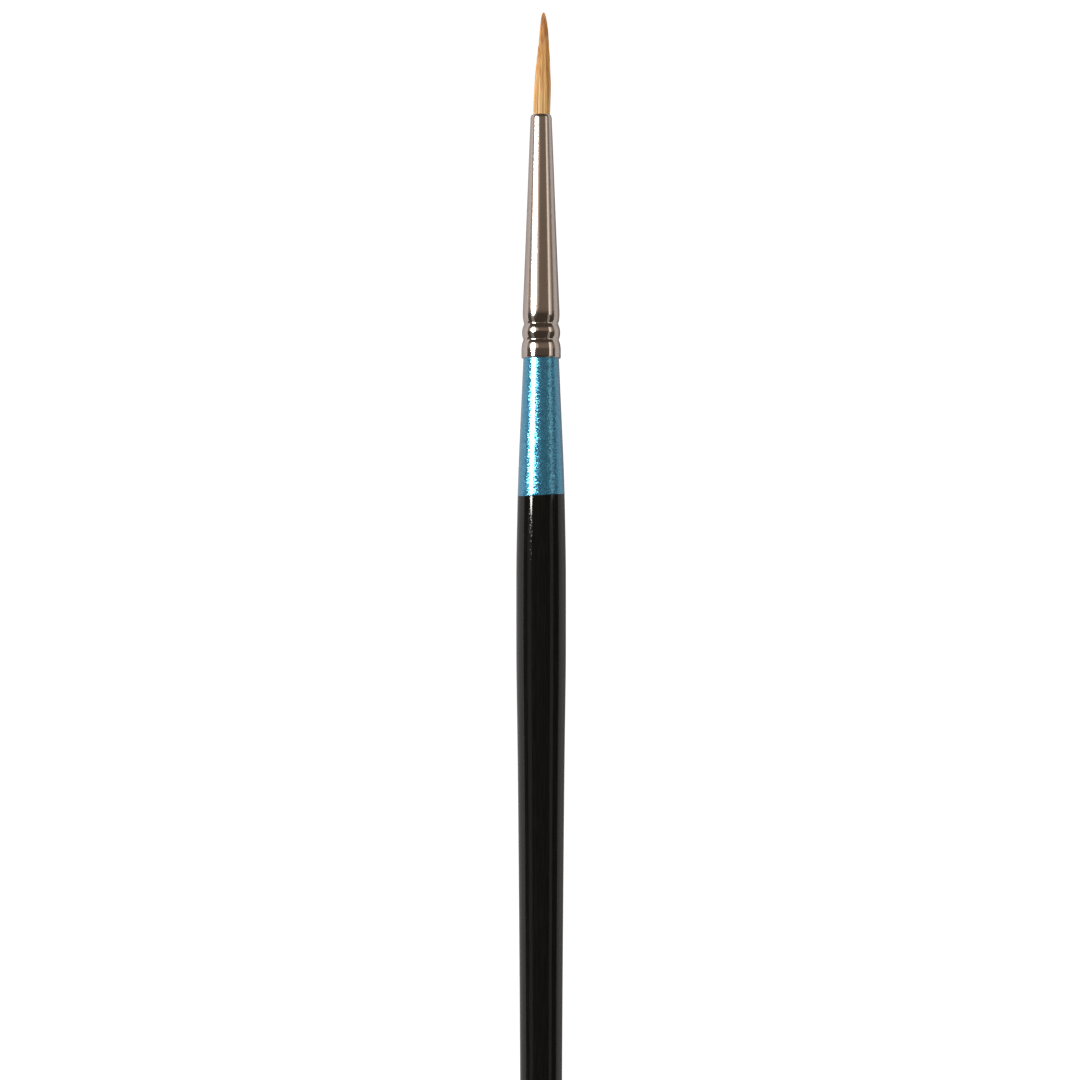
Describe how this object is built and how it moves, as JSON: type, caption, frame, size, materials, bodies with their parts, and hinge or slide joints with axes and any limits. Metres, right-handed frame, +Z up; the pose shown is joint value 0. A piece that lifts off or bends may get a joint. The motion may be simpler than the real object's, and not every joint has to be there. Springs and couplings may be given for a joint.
{
  "type": "small round detail brush",
  "caption": "Slim artist's brush with a pointed round tuft, a crimped tapered metal ferrule and a turned, lacquered handle.",
  "frame": {"origin": "on the axis, at the middle of the handle's thickest stretch, where the brush is held", "axes": "+X along the brush's axis from the butt towards the tuft, +Z up, +Y to the left seen from the butt"},
  "size_m": [0.184, 0.0062, 0.0062],
  "materials": {
    "birch_wood": "sanded bare wood",
    "black_lacquer": "gloss lacquer",
    "blue_metallic_lacquer": "gloss metallic lacquer with fine flakes",
    "nickel_plated_brass": "polished nickel plate over brass",
    "wood_glue": "dry glue",
    "cured_resin": "amber cured resin",
    "thread": "waxed thread",
    "root_filament": "filaments set in resin",
    "tan_filament": "satin synthetic filament",
    "point_filament": "satin synthetic filament"
  },
  "bodies": {
    "handle": {"handle_core": "birch_wood", "black_lacquer_coat": "black_lacquer", "blue_lacquer_coat": "blue_metallic_lacquer", "ferrule": "nickel_plated_brass", "tenon_glue": "wood_glue", "resin_plug": "cured_resin", "binding_thread": "thread", "filament_roots": "root_filament"},
    "tuft": {"belly_filaments": "tan_filament", "point_filaments": "point_filament"}
  },
  "joints": [
    {"name": "tuft_flex", "type": "hinge", "parent": "handle", "child": "tuft", "pos_m": [0.0626, 0, 0], "axis": [0, 0, 1], "range_deg": [-50, 50], "stiffness_Nm_per_rad": 0.0002, "deforming": ["belly_filaments", "point_filaments"]}
  ]
}
